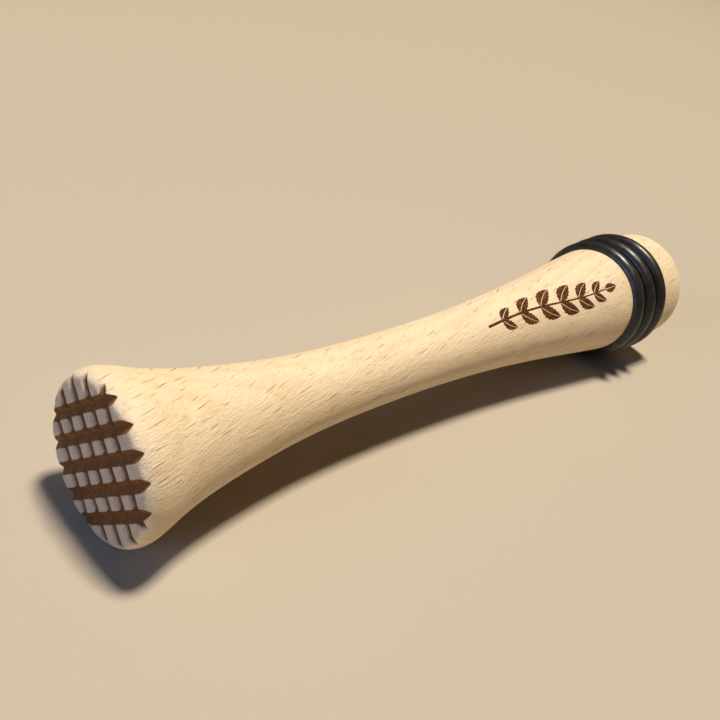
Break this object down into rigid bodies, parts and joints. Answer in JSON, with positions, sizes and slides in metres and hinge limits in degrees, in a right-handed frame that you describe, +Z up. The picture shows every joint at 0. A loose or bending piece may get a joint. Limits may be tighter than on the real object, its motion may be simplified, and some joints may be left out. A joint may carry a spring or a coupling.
{
  "type": "muddler",
  "caption": "Turned wooden muddler with a cross-grooved head, slim waist, flared handle and rubber rings near the butt, for pressing fruit and herbs in a glass.",
  "frame": {"origin": "on the table, under the centre of the whole, as the muddler lies on its side", "axes": "+Z up, +X along the muddler from the head to the butt, +Y across it"},
  "size_m": [0.2204, 0.0414, 0.0415],
  "materials": {
    "beech": "bare sanded beech, matt, with short dark ray flecks along the grain",
    "black_rubber": "smooth moulded rubber, satin"
  },
  "bodies": {
    "body": {"body": "beech"},
    "ring_front": {"ring_front": "black_rubber"},
    "ring_middle": {"ring_middle": "black_rubber"},
    "ring_rear": {"ring_rear": "black_rubber"}
  },
  "joints": [
    {"name": "ring_front_turn", "type": "hinge", "parent": "body", "child": "ring_front", "pos_m": [0.07749, 0, 0.02056], "axis": [0.9999, 0, 0.0122], "continuous": true},
    {"name": "ring_middle_turn", "type": "hinge", "parent": "body", "child": "ring_middle", "pos_m": [0.08449, 0, 0.02065], "axis": [0.9999, 0, 0.0122], "continuous": true},
    {"name": "ring_rear_turn", "type": "hinge", "parent": "body", "child": "ring_rear", "pos_m": [0.09149, 0, 0.02073], "axis": [0.9999, 0, 0.0122], "continuous": true}
  ]
}
